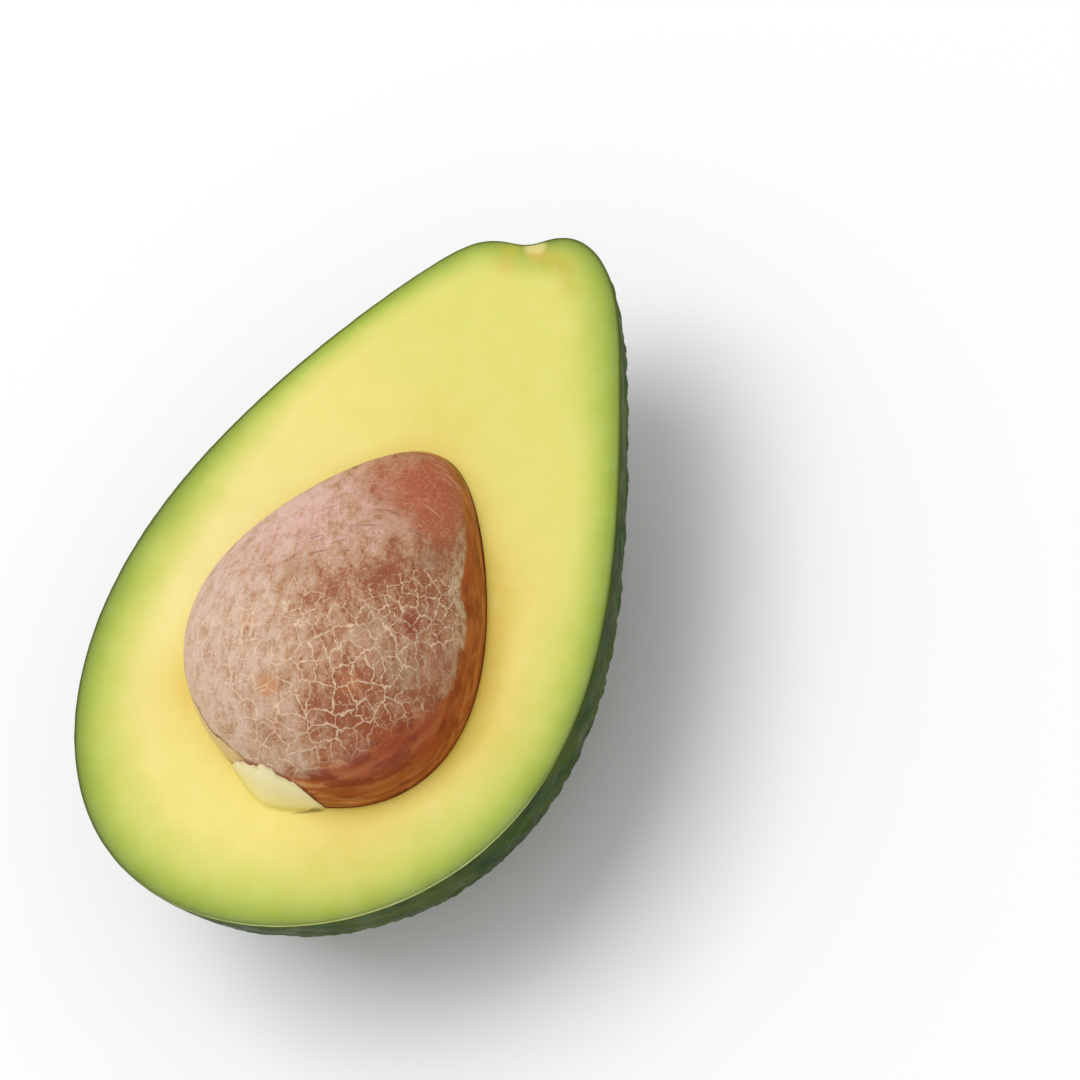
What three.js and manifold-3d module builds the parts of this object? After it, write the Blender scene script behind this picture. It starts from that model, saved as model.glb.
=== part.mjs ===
// Half an avocado with its seed, lying on its skin with the cut face level.
// Millimetres. +Z is up and +Y points along the fruit to the stem end. The origin is the middle of
// the small flat spot that the half rests on.
import * as THREE from 'three';
import { mergeVertices } from 'three/addons/utils/BufferGeometryUtils.js';
import Module from 'manifold-3d';

const wasm = await Module();
wasm.setup();

// ---------------------------------------------------------------- driving dimensions
const LENGTH = 112; // blossom end to stem tip
const MID_Y = 9.5; // the middle of that length, ahead of the rest spot
const CUT_HEIGHT = 36.5; // cut face above the surface that the half lies on
const SKIN_THICKNESS = 0.9;
const GAP = 0.3; // clearance between neighbouring pieces

// The skin is pressed flat underneath. Round the flat spot the tips of three pebbles reach a hair
// lower, and the half stands on them without rocking.
const FLAT_SPOT_HEIGHT = 0.2;
const LOW_TIPS = [[-7.8, 7.5], [7.5, 7.5], [-0.25, -13.7]].map(([x, y]) => new THREE.Vector3(x, y, 0));

// The form changes along the fruit. Each list is a power series in t, which runs from -1 at the
// blossom end to 1 at the stem end. Half sizes are measured from the midline in millimetres.
const HALF_BREADTH = [35.3, -12.5, -3.9, 3.3, 2.2];
const HALF_DEPTH = [37.0, -7.3, -5.0, -9.0, 5.0];
const MIDLINE_X = [-0.2, -1.6, -3.2, 2.6];

// The seed is an egg whose narrow end points to the stem. Its axis lies in the cut face.
const SEED_LENGTH = 53.8;
const SEED_MID_Y = 1;
const SEED_HALF_BREADTH = [21.2, -7.3, -1.3, 0.9];
const SEED_MIDLINE_X = [-0.2, -1.3];
const SEED_FLATTENING = 0.9; // height over breadth

// The stem left a small dimple, a little to one side of the tip. Beside it the fruit swells into a
// blunt shoulder.
const DIMPLE_CENTRE = new THREE.Vector3(-7.2, 63, CUT_HEIGHT);
const DIMPLE_RADIUS = 5.6;
const DIMPLE_DEPTH = 3.3;
const SHOULDER_CENTRE = new THREE.Vector3(0, 54.5, CUT_HEIGHT);
const SHOULDER_RADIUS = 11.4;
const SHOULDER_HEIGHT = 1.6;

// Skin relief: rounded pebbles, and shallow furrows that run into the stem end. The relief fades out
// just below the cut, so that the knife leaves a smooth edge.
const PEBBLE_PITCH = 5;
const PEBBLE_HEIGHT = 0.7;
const CALM_BELOW_CUT = 0.16; // share of the depth over which the relief grows to its full height
const FURROW_COUNT = 17;
const FURROW_DEPTH = 0.4;
const FURROW_START = 0.35; // place along the fruit, as t

// A lip of pale tissue rises from the cut face and clings to the seed's broad end. It is the part of
// a coat over the seed that lies inside an upright oval.
const LIP_CENTRE = new THREE.Vector3(2, -26.5, CUT_HEIGHT);
const LIP_RADII = new THREE.Vector3(8, 5.5, 9);
const LIP_THICKNESS = 1.4;

// Triangle rows along a quarter turn of each surface.
const SKIN_OUTSIDE_STEPS = 44;
const SKIN_INSIDE_STEPS = 22;
const FLESH_STEPS = 24;
const SEED_STEPS = 18;
const LIP_STEPS = 8;

// ---------------------------------------------------------------- surfaces
const series = (coefficients, t) => coefficients.reduceRight((sum, factor) => sum * t + factor, 0);

// A unit sphere of near-even triangles with rows of vertices exactly on the coordinate planes.
function evenSphere(steps) {
  const octahedron = new THREE.OctahedronGeometry(1, steps - 1);
  octahedron.deleteAttribute('normal');
  octahedron.deleteAttribute('uv');
  const sphere = mergeVertices(octahedron);
  const point = new THREE.Vector3();
  for (let i = 0; i < sphere.attributes.position.count; i += 1) {
    point.fromBufferAttribute(sphere.attributes.position, i);
    const span = point.manhattanLength();
    const spread = (side) => Math.sin((side / span) * (Math.PI / 2));
    point.set(spread(point.x), spread(point.y), spread(point.z)).normalize();
    sphere.attributes.position.setXYZ(i, ...point);
  }
  return sphere;
}

// Where a point of the unit sphere lies on the whole fruit.
function onFruit(ball) {
  const x = series(MIDLINE_X, ball.y) + series(HALF_BREADTH, ball.y) * ball.x;
  const y = MID_Y + (LENGTH / 2) * ball.y;
  const z = CUT_HEIGHT + series(HALF_DEPTH, ball.y) * ball.z;
  return new THREE.Vector3(x, y, z);
}

// Where a point of the unit sphere lies on the seed.
function onSeed(ball) {
  const halfBreadth = series(SEED_HALF_BREADTH, ball.y);
  const x = series(SEED_MIDLINE_X, ball.y) + halfBreadth * ball.x;
  const y = SEED_MID_Y + (SEED_LENGTH / 2) * ball.y;
  const z = CUT_HEIGHT + SEED_FLATTENING * halfBreadth * ball.z;
  return new THREE.Vector3(x, y, z);
}

// A closed surface over the unit sphere, pushed out along its own normals by raise(place, ball).
function raisedSurface(steps, place, raise) {
  const balls = evenSphere(steps);
  const surface = balls.clone();
  const ball = new THREE.Vector3();
  const point = new THREE.Vector3();
  const normal = new THREE.Vector3();
  for (let i = 0; i < balls.attributes.position.count; i += 1) {
    ball.fromBufferAttribute(balls.attributes.position, i);
    surface.attributes.position.setXYZ(i, ...place(ball));
  }
  surface.computeVertexNormals();
  for (let i = 0; i < balls.attributes.position.count; i += 1) {
    ball.fromBufferAttribute(balls.attributes.position, i);
    point.fromBufferAttribute(surface.attributes.position, i);
    normal.fromBufferAttribute(surface.attributes.normal, i);
    if (ball.z === 0) normal.setZ(0).normalize();
    point.addScaledVector(normal, raise(point, ball));
    surface.attributes.position.setXYZ(i, ...point);
  }
  surface.deleteAttribute('normal');
  return surface;
}

// ---------------------------------------------------------------- relief
// A repeatable random number from 0 to 1 for a cell of a lattice.
function cellNumber(i, j, k, salt) {
  const wave = Math.sin(i * 127.1 + j * 311.7 + k * 74.7 + salt * 53.3) * 43758.5453;
  return wave - Math.floor(wave);
}

// 0 in the creases between pebbles and 1 on their tops. Each pebble grows round one scattered seed
// point of a cubic lattice.
function pebble(point) {
  const [px, py, pz] = point.toArray().map((side) => side / PEBBLE_PITCH);
  let nearest = Infinity;
  let second = Infinity;
  for (let i = Math.floor(px) - 1; i <= Math.floor(px) + 1; i += 1) {
    for (let j = Math.floor(py) - 1; j <= Math.floor(py) + 1; j += 1) {
      for (let k = Math.floor(pz) - 1; k <= Math.floor(pz) + 1; k += 1) {
        const dx = i + cellNumber(i, j, k, 0) - px;
        const dy = j + cellNumber(i, j, k, 1) - py;
        const dz = k + cellNumber(i, j, k, 2) - pz;
        const distance = Math.hypot(dx, dy, dz);
        second = Math.min(second, Math.max(distance, nearest));
        nearest = Math.min(nearest, distance);
      }
    }
  }
  return THREE.MathUtils.smoothstep(second - nearest, 0, 0.5);
}

function furrow(ball) {
  const around = Math.atan2(ball.z, ball.x);
  const reach = THREE.MathUtils.smoothstep(ball.y, FURROW_START, 0.8);
  const fade = 1 - THREE.MathUtils.smoothstep(ball.y, 0.93, 1);
  return FURROW_DEPTH * reach * fade * Math.cos(FURROW_COUNT * around);
}

function stemEnd(point) {
  const fromDimple = point.distanceTo(DIMPLE_CENTRE) / DIMPLE_RADIUS;
  const fromShoulder = point.distanceTo(SHOULDER_CENTRE) / SHOULDER_RADIUS;
  const shoulder = SHOULDER_HEIGHT * Math.exp(-(fromShoulder ** 2));
  return shoulder - DIMPLE_DEPTH * Math.exp(-(fromDimple ** 2));
}

function skinRelief(point, ball) {
  const fullness = THREE.MathUtils.smoothstep(-ball.z, 0, CALM_BELOW_CUT);
  return fullness * (PEBBLE_HEIGHT * (pebble(point) - 0.5) + furrow(ball)) + stemEnd(point);
}

// ---------------------------------------------------------------- halves
// The half below the cut: its points, its faces, and the rim round the cut face in order. The
// underside is levelled at the height of the flat spot and the inset over it.
function lowerHalf(steps, inset, relief) {
  const balls = evenSphere(steps).attributes.position;
  const whole = raisedSurface(steps, onFruit, (point, ball) => relief(point, ball) - inset);
  const points = [];
  const newIndex = new Map();
  for (let i = 0; i < balls.count; i += 1) {
    if (balls.getZ(i) > 0) continue;
    const point = new THREE.Vector3().fromBufferAttribute(whole.attributes.position, i);
    point.z = balls.getZ(i) === 0 ? CUT_HEIGHT : Math.max(point.z, FLAT_SPOT_HEIGHT + inset);
    newIndex.set(i, points.length);
    points.push(point);
  }
  const faces = [];
  for (let i = 0; i < whole.index.count; i += 3) {
    const corners = [0, 1, 2].map((step) => newIndex.get(whole.index.getX(i + step)));
    if (corners.every((corner) => corner !== undefined)) faces.push(corners);
  }
  const turn = (i) => Math.atan2(balls.getY(i), balls.getX(i));
  const rim = [...newIndex.keys()].filter((i) => balls.getZ(i) === 0).sort((i, j) => turn(i) - turn(j));
  return { points, faces, rim: rim.map((i) => newIndex.get(i)) };
}

// Level faces, facing up, between an outer rim and the inner rims given, by point number.
function levelFaces(points, outerRim, innerRims) {
  const flat = (rim) => rim.map((i) => new THREE.Vector2(points[i].x, points[i].y));
  const numbers = [...outerRim, ...innerRims.flat()];
  const triangles = THREE.ShapeUtils.triangulateShape(flat(outerRim), innerRims.map(flat));
  return triangles.map((triangle) => {
    const [a, b, c] = triangle.map((i) => numbers[i]);
    const edge = points[b].clone().sub(points[a]);
    const other = points[c].clone().sub(points[a]);
    return edge.cross(other).z > 0 ? [a, b, c] : [a, c, b];
  });
}

function closedGeometry(points, faces) {
  const geometry = new THREE.BufferGeometry();
  const coordinates = points.flatMap((point) => point.toArray());
  geometry.setAttribute('position', new THREE.Float32BufferAttribute(coordinates, 3));
  geometry.setIndex(faces.flat());
  return geometry;
}

// ---------------------------------------------------------------- cutting and joining
function toSolid(geometry) {
  const vertProperties = Float32Array.from(geometry.attributes.position.array);
  const triVerts = Uint32Array.from(geometry.index.array);
  return new wasm.Manifold(new wasm.Mesh({ numProp: 3, vertProperties, triVerts }));
}

function fromSolid(solid) {
  const { vertProperties, triVerts } = solid.getMesh();
  const geometry = new THREE.BufferGeometry();
  geometry.setAttribute('position', new THREE.BufferAttribute(vertProperties, 3));
  geometry.setIndex(new THREE.BufferAttribute(triVerts, 1));
  return geometry;
}

// ---------------------------------------------------------------- pieces
// The peel: one thin bowl, pebbled outside and plain where it holds the flesh.
function skinGeometry() {
  const outside = lowerHalf(SKIN_OUTSIDE_STEPS, 0, skinRelief);
  for (const tip of LOW_TIPS) {
    const nearer = (a, b) => (a.distanceTo(tip) < b.distanceTo(tip) ? a : b);
    outside.points.reduce(nearer).copy(tip);
  }
  const inside = lowerHalf(SKIN_INSIDE_STEPS, SKIN_THICKNESS, stemEnd);
  const shift = outside.points.length;
  const points = [...outside.points, ...inside.points];
  const insideFaces = inside.faces.map(([a, b, c]) => [a + shift, c + shift, b + shift]);
  const insideRim = inside.rim.map((i) => i + shift);
  const edge = levelFaces(points, outside.rim, [insideRim]);
  return closedGeometry(points, [...outside.faces, ...insideFaces, ...edge]);
}

// The flesh fills the peel up to the cut face. It keeps the seed's hollow and carries the pale lip.
function fleshGeometry() {
  const inset = SKIN_THICKNESS + GAP;
  const { points, faces, rim } = lowerHalf(FLESH_STEPS, inset, stemEnd);
  const half = toSolid(closedGeometry(points, [...faces, ...levelFaces(points, rim, [])]));
  const hollow = toSolid(raisedSurface(SEED_STEPS, onSeed, () => GAP));
  const coat = toSolid(raisedSurface(SEED_STEPS, onSeed, () => GAP + LIP_THICKNESS));
  const oval = toSolid(evenSphere(LIP_STEPS).scale(...LIP_RADII).translate(...LIP_CENTRE));
  return fromSolid(half.add(coat.intersect(oval)).subtract(hollow));
}

function seedGeometry() {
  return raisedSurface(SEED_STEPS, onSeed, () => 0);
}

function piece(name, geometry, color, roughness) {
  geometry.computeVertexNormals();
  const material = new THREE.MeshStandardMaterial({ color, roughness, metalness: 0 });
  const mesh = new THREE.Mesh(geometry, material);
  mesh.name = name;
  return mesh;
}

const avocadoHalf = new THREE.Group();
avocadoHalf.name = 'avocado_half';
avocadoHalf.add(piece('skin', skinGeometry(), 0x2f5a33, 0.5));
avocadoHalf.add(piece('flesh', fleshGeometry(), 0xe9df86, 0.45));
avocadoHalf.add(piece('seed', seedGeometry(), 0x9c5f45, 0.55));

export default avocadoHalf;
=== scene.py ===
import itertools
import math

import bpy
import numpy as np
from mathutils import Matrix, Vector


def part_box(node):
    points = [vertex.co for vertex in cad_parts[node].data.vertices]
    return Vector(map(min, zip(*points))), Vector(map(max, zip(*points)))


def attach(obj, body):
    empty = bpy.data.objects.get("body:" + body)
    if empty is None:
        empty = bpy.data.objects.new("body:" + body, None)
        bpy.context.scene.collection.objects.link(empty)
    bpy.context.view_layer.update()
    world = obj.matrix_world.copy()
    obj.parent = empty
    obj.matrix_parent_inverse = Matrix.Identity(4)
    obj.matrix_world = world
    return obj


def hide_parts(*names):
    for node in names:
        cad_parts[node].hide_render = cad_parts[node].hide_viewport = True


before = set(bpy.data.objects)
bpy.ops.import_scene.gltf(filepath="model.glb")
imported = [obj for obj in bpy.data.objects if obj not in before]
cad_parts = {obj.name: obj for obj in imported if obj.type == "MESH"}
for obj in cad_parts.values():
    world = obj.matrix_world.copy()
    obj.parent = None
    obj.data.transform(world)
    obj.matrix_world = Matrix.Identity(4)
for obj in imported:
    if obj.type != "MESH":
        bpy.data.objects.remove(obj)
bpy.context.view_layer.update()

# ---------------------------------------------------------------- camera and studio
# The camera looks down on the cut face from a low corner of the fruit, with the stem end away from
# it. Round it is a pale room: a white floor, an even sky and one broad soft lamp overhead.
scene = bpy.context.scene
scene.view_settings.view_transform = "Standard"

CAMERA_PLACE = Vector((0.2544, -0.0718, 0.5955))
CAMERA_TARGET = Vector((0.0181, 0.0234, 0.0365))
CAMERA_ROLL = math.radians(-40)
CAMERA_LENS = 144.7
CAMERA_SENSOR = 36

camera = bpy.data.objects.new("camera", bpy.data.cameras.new("camera"))
scene.collection.objects.link(camera)
camera.data.lens = CAMERA_LENS
camera.data.sensor_width = CAMERA_SENSOR
aim = (CAMERA_TARGET - CAMERA_PLACE).to_track_quat("-Z", "Y").to_matrix().to_4x4()
camera.matrix_world = Matrix.Translation(CAMERA_PLACE) @ aim @ Matrix.Rotation(CAMERA_ROLL, 4, "Z")
scene.camera = camera


LAMP_PLACE = Vector((-0.75, 0.05, 2.35))
LAMP_SIZE = 1.5
LAMP_WATTS = 31

lamp = bpy.data.objects.new("key_lamp", bpy.data.lights.new("key_lamp", "AREA"))
lamp.data.size = LAMP_SIZE
lamp.data.energy = LAMP_WATTS
lamp.location = LAMP_PLACE
lamp.rotation_euler = (CAMERA_TARGET - LAMP_PLACE).to_track_quat("-Z", "Y").to_euler()
scene.collection.objects.link(lamp)

SKY_WHITE = (1, 1, 1, 1)
SKY_STRENGTH = 0.6

scene.world = bpy.data.worlds.new("studio")
scene.world.use_nodes = True
sky = scene.world.node_tree.nodes["Background"]
sky.inputs["Color"].default_value = SKY_WHITE
sky.inputs["Strength"].default_value = SKY_STRENGTH

FLOOR_REACH = 3.0
FLOOR_WHITE = (0.97, 0.97, 0.97, 1)
FLOOR_ROUGHNESS = 0.7

floor_mesh = bpy.data.meshes.new("floor")
floor_corners = [(x * FLOOR_REACH, y * FLOOR_REACH, 0) for x, y in ((-1, -1), (1, -1), (1, 1), (-1, 1))]
floor_mesh.from_pydata(floor_corners, [], [(0, 1, 2, 3)])
floor = bpy.data.objects.new("floor", floor_mesh)
scene.collection.objects.link(floor)
floor_material = bpy.data.materials.new("floor")
floor_material.use_nodes = True
floor_paint = floor_material.node_tree.nodes["Principled BSDF"]
floor_paint.inputs["Base Color"].default_value = FLOOR_WHITE
floor_paint.inputs["Roughness"].default_value = FLOOR_ROUGHNESS
floor_mesh.materials.append(floor_material)

# ---------------------------------------------------------------- skin
# The peel of the half fruit: a thin leathery green bowl, pebbled and pitted, with furrows that run
# into the stem end and a dimple where the stem was. It grew round the flesh and holds it.
MM = 0.001  # every surface is worked out in millimetres

LENGTH = 112
MID_Y = 9.5
CUT_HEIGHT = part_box("skin")[1].z / MM
# Half sizes along the fruit, as power series in t from -1 at the blossom end to 1 at the stem end.
HALF_BREADTH = np.polynomial.Polynomial([35.3, -12.5, -3.9, 3.3, 2.2])
HALF_DEPTH = np.polynomial.Polynomial([37.0, -7.3, -5.0, -9.0, 5.0])
MIDLINE_X = np.polynomial.Polynomial([-0.2, -1.6, -3.2, 2.6])

SKIN_STEPS = 180
SKIN_INSIDE_STEPS = 60
CUT_SKIN_WIDTH = 0.2  # the thin outer skin that shows as a line round the cut
SKIN_THICKNESS = 0.9  # further down, with the green tissue under it
CUT_EDGE_ROUND = 0.08
DIMPLE_CENTRE = np.array([-7.2, 63, CUT_HEIGHT])
DIMPLE_RADIUS = 5.6
DIMPLE_DEPTH = 3.3
SHOULDER_CENTRE = np.array([0, 54.5, CUT_HEIGHT])
SHOULDER_RADIUS = 11.4
SHOULDER_HEIGHT = 1.6
SWELL_PITCH = 5
SWELL_HEIGHT = 0.22
PEBBLE_PITCH = np.array([3.0, 2.4, 3.0])
PEBBLE_HEIGHT = 0.24
PEBBLE_BEND = 0.5
PEBBLE_SHIFT = 40  # draws other random pebbles than the swells
FURROW_COUNT = 17
FURROW_DEPTH = 0.4
FURROWS_GROW = (0.35, 0.8)  # shares of the way from the middle to the stem end
FURROWS_FADE = (0.93, 1)
RELIEF_AT_CUT = 0.12  # share of the full relief
CALM_BELOW_CUT = 0.3  # share of the depth over which the relief grows to its full height
THIN_BELOW_CUT = 0.12  # share of the depth over which the skin grows to its full thickness
STEM_SCAR_RADIUS = 7

# Painted shade: the low creases between the pebbles are painted darker.
SKIN_CREASE_SHADE = (26, 42, 14)
SKIN_GREEN = (52, 72, 14)
SKIN_PALE_GREEN = (86, 104, 24)
SKIN_BLUE_GREEN = (42, 62, 24)
# Painted shade: the small pits are painted near black, on top of their bump.
SKIN_PIT = (20, 30, 16)
SKIN_SPOT = (118, 136, 74)
SKIN_SCAR = (112, 92, 58)
CUT_SKIN_DARK = (88, 102, 26)
CUT_SKIN_PALE = (186, 196, 122)
SKIN_PIT_PITCH = 5.0
SKIN_SPOT_PITCH = 2.1
SKIN_PORE_PITCH = 1.3
SKIN_GRAIN_PITCH = 0.7
SKIN_BUMP_DEPTH = 0.08
SKIN_SPECULAR = 0.04


def half_ball(steps):
    """The unit half ball below the cut: points, triangles facing out, and the rim in order."""
    number = {}
    for i, j in itertools.product(range(-steps, steps + 1), repeat=2):
        if abs(i) + abs(j) <= steps:
            number[i, j] = len(number)
    lattice = np.array(list(number), float) / steps
    down = 1 - np.abs(lattice).sum(axis=1)
    points = np.sin(np.column_stack([lattice, -down]) * math.pi / 2)
    points[np.abs(down) < 1e-9, 2] = 0
    points /= np.linalg.norm(points, axis=1)[:, None]
    faces = []
    for i, j in itertools.product(range(steps), repeat=2):
        for side, end in itertools.product((1, -1), repeat=2):
            corners = [(i, j), (i + 1, j), (i, j + 1), (i + 1, j + 1)]
            around = [number.get((a * side, b * end)) for a, b in corners]
            triangles = [(around[0], around[2], around[1])]
            triangles.append((around[1], around[2], around[3]))
            for triangle in triangles:
                if None not in triangle:
                    faces.append(triangle if side * end > 0 else triangle[::-1])
    rim = np.flatnonzero(points[:, 2] == 0)
    rim = rim[np.argsort(np.arctan2(points[rim, 1], points[rim, 0]))]
    return points, np.array(faces), rim


def on_body(ball, length, mid_y, midline, half_breadth, half_depth):
    """Where points of the unit ball lie on a pear-shaped body, and the body's normals there."""
    across, t, up = ball.T
    breadth, depth = half_breadth(t), half_depth(t)
    x = midline(t) + breadth * across
    points = np.column_stack([x, mid_y + length / 2 * t, CUT_HEIGHT + depth * up])
    lean = midline.deriv()(t) + half_breadth.deriv()(t) * across
    nx, nz = across / breadth, up / depth
    ny = (t - lean * nx - half_depth.deriv()(t) * up * nz) / (length / 2)
    normals = np.column_stack([nx, ny, nz])
    return points, normals / np.linalg.norm(normals, axis=1)[:, None]


def cell_numbers(cells):
    """Three repeatable random numbers from 0 to 1 for each cell of a lattice."""
    base = cells @ np.array([127.1, 311.7, 74.7])
    waves = np.sin(base[:, None] + np.arange(3) * 53.3) * 43758.5453
    return waves - np.floor(waves)


def cell_distances(points, pitch):
    """Distances to the nearest and second nearest scattered point, in cells of a cubic lattice."""
    scaled = points / pitch
    nearest = np.full(len(points), 9.0)
    second = nearest.copy()
    for step in itertools.product((-1, 0, 1), repeat=3):
        cells = np.floor(scaled) + step
        distance = np.linalg.norm(cells + cell_numbers(cells) - scaled, axis=1)
        second = np.minimum(second, np.maximum(distance, nearest))
        nearest = np.minimum(nearest, distance)
    return nearest, second


def smooth_step(value, low, high):
    share = np.clip((value - low) / (high - low), 0, 1)
    return share * share * (3 - 2 * share)


def hump(value, middle, width):
    """A bell-shaped bump of height 1."""
    return np.exp(-((value - middle) / width) ** 2)


def stem_end(points):
    """The swollen shoulder beside the stem, and the dimple that the stem left."""
    from_dimple = np.linalg.norm(points - DIMPLE_CENTRE, axis=1)
    from_shoulder = np.linalg.norm(points - SHOULDER_CENTRE, axis=1)
    shoulder = SHOULDER_HEIGHT * hump(from_shoulder, 0, SHOULDER_RADIUS)
    return shoulder - DIMPLE_DEPTH * hump(from_dimple, 0, DIMPLE_RADIUS)


def skin_relief(points, ball):
    """Height of the skin above the plain body, and how far up its pebble each point lies."""
    nearest, second = cell_distances(points, SWELL_PITCH)
    swell = smooth_step(second - nearest, 0, 0.5)
    bent = points + PEBBLE_BEND * np.sin(points[:, [1, 2, 0]] / 1.3 + points[:, [2, 0, 1]] / 2.9)
    nearest, second = cell_distances(bent + PEBBLE_SHIFT, PEBBLE_PITCH)
    pebble = smooth_step(second - nearest, 0, 0.45) * (1 - 0.35 * nearest)
    reach = smooth_step(ball[:, 1], *FURROWS_GROW) * (1 - smooth_step(ball[:, 1], *FURROWS_FADE))
    furrow = FURROW_DEPTH * reach * np.cos(FURROW_COUNT * np.arctan2(ball[:, 2], ball[:, 0]))
    fullness = RELIEF_AT_CUT + (1 - RELIEF_AT_CUT) * smooth_step(-ball[:, 2], 0, CALM_BELOW_CUT)
    height = SWELL_HEIGHT * (swell - 0.5) + PEBBLE_HEIGHT * (pebble - 0.5) + furrow
    return fullness * height + stem_end(points), pebble


def fruit_half(steps, extra):
    """The plain inside of the skin, raised by extra, with its triangles and its rim."""
    ball, faces, rim = half_ball(steps)
    points, normals = on_body(ball, LENGTH, MID_Y, MIDLINE_X, HALF_BREADTH, HALF_DEPTH)
    deep = smooth_step(-ball[:, 2], 0, THIN_BELOW_CUT)
    inset = CUT_SKIN_WIDTH + (SKIN_THICKNESS - CUT_SKIN_WIDTH) * deep - extra
    points += normals * (stem_end(points) - inset)[:, None]
    points[:, 2] = np.maximum(points[:, 2], SKIN_THICKNESS - extra)
    points[rim, 2] = CUT_HEIGHT
    return points, faces, rim


def join_rims(outer, inner):
    """Triangles facing up between an outer rim and an inner rim with a whole share of its points."""
    share = len(outer) // len(inner)
    faces = []
    for j, start in enumerate(inner):
        near = [outer[(j * share + i) % len(outer)] for i in range(share + 1)]
        faces += [(start, near[i], near[i + 1]) for i in range(share)]
        faces.append((start, near[share], inner[(j + 1) % len(inner)]))
    return np.array(faces)


def new_piece(name, points, faces, attributes, slot):
    """A smooth mesh object in metres, with one number per point for each named attribute."""
    mesh = bpy.data.meshes.new(name)
    mesh.from_pydata(points * MM, [], faces)
    mesh.shade_smooth()
    for label, values in attributes.items():
        mesh.attributes.new(label, "FLOAT", "POINT").data.foreach_set("value", np.float32(values))
    piece = bpy.data.objects.new(name, mesh)
    scene.collection.objects.link(piece)
    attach(piece, "root")
    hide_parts(slot)
    return piece


ball, outside_faces, outside_rim = half_ball(SKIN_STEPS)
outside, normals = on_body(ball, LENGTH, MID_Y, MIDLINE_X, HALF_BREADTH, HALF_DEPTH)
height, pebble = skin_relief(outside, ball)
outside += normals * height[:, None]
outside[:, 2] = np.maximum(outside[:, 2], 0)
cut_edge = outside[outside_rim] - normals[outside_rim] * CUT_EDGE_ROUND
cut_edge[:, 2] = CUT_HEIGHT
outside[outside_rim, 2] = CUT_HEIGHT - CUT_EDGE_ROUND
inside, inside_faces, inside_rim = fruit_half(SKIN_INSIDE_STEPS, 0)

edge_numbers = len(outside) + np.arange(len(cut_edge))
inside_start = len(outside) + len(cut_edge)
skin_points = np.vstack([outside, cut_edge, inside])
skin_faces = np.vstack([
    outside_faces,
    join_rims(outside_rim, edge_numbers),
    join_rims(edge_numbers, inside_rim + inside_start),
    inside_faces[:, ::-1] + inside_start,
])
on_cut = np.zeros(len(skin_points))
on_cut[len(outside):] = 1
pebble_all = np.concatenate([pebble, np.full(len(cut_edge) + len(inside), 0.5)])
stem_near = hump(np.linalg.norm(skin_points - DIMPLE_CENTRE, axis=1), 0, STEM_SCAR_RADIUS)
# The cut edge is paler along one side of the blossom end.
turn = np.degrees(np.arctan2(skin_points[:, 1] - MID_Y, skin_points[:, 0]))
pale_edge = smooth_step(turn, -110, -75) * (1 - smooth_step(turn, -40, -15))
skin = new_piece("skin_peel", skin_points, skin_faces, {
    "pebble": pebble_all, "on_cut": on_cut, "stem": stem_near, "pale_edge": pale_edge,
    "below_cut": CUT_HEIGHT - skin_points[:, 2],
}, "skin")


def linear(rgb):
    """A colour given as red, green and blue from 0 to 255, as the shader wants it."""
    shares = [part / 255 for part in rgb]
    return (*[s / 12.92 if s < 0.04045 else ((s + 0.055) / 1.055) ** 2.4 for s in shares], 1)


def add_node(tree, kind, values=None, **settings):
    """A new node with its settings, and its inputs set to values or linked from other sockets."""
    node = tree.nodes.new(kind)
    for label, setting in settings.items():
        setattr(node, label, setting)
    for label, value in (values or {}).items():
        if isinstance(value, bpy.types.NodeSocket):
            tree.links.new(value, node.inputs[label])
        else:
            node.inputs[label].default_value = value
    return node


def blend_colours(tree, share, under, over):
    """The colour under, covered by the colour over as far as share says."""
    node = add_node(tree, "ShaderNodeMix", data_type="RGBA")
    for number, value in ((0, share), (6, under), (7, over)):
        if isinstance(value, bpy.types.NodeSocket):
            tree.links.new(value, node.inputs[number])
        else:
            node.inputs[number].default_value = linear(value) if isinstance(value, tuple) else value
    return node.outputs[2]


def arithmetic(tree, operation, first, second=0.0, third=0.0, clamp=False):
    node = add_node(tree, "ShaderNodeMath", {0: first, 1: second, 2: third}, operation=operation)
    node.use_clamp = clamp
    return node.outputs[0]


def product(tree, *shares):
    """The shares multiplied together."""
    total = shares[0]
    for share in shares[1:]:
        total = arithmetic(tree, "MULTIPLY", total, share)
    return total


def share_between(tree, value, low, high, to_low=0.0, to_high=1.0):
    """The value moved smoothly from the range low to high into the range to_low to to_high."""
    inputs = {"Value": value, "From Min": low, "From Max": high, "To Min": to_low, "To Max": to_high}
    return add_node(tree, "ShaderNodeMapRange", inputs, interpolation_type="SMOOTHSTEP").outputs[0]


def attribute(tree, label):
    return add_node(tree, "ShaderNodeAttribute", attribute_name=label).outputs["Fac"]


def new_material(name):
    material = bpy.data.materials.new(name)
    material.use_nodes = True
    return material, material.node_tree, material.node_tree.nodes["Principled BSDF"]


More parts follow.
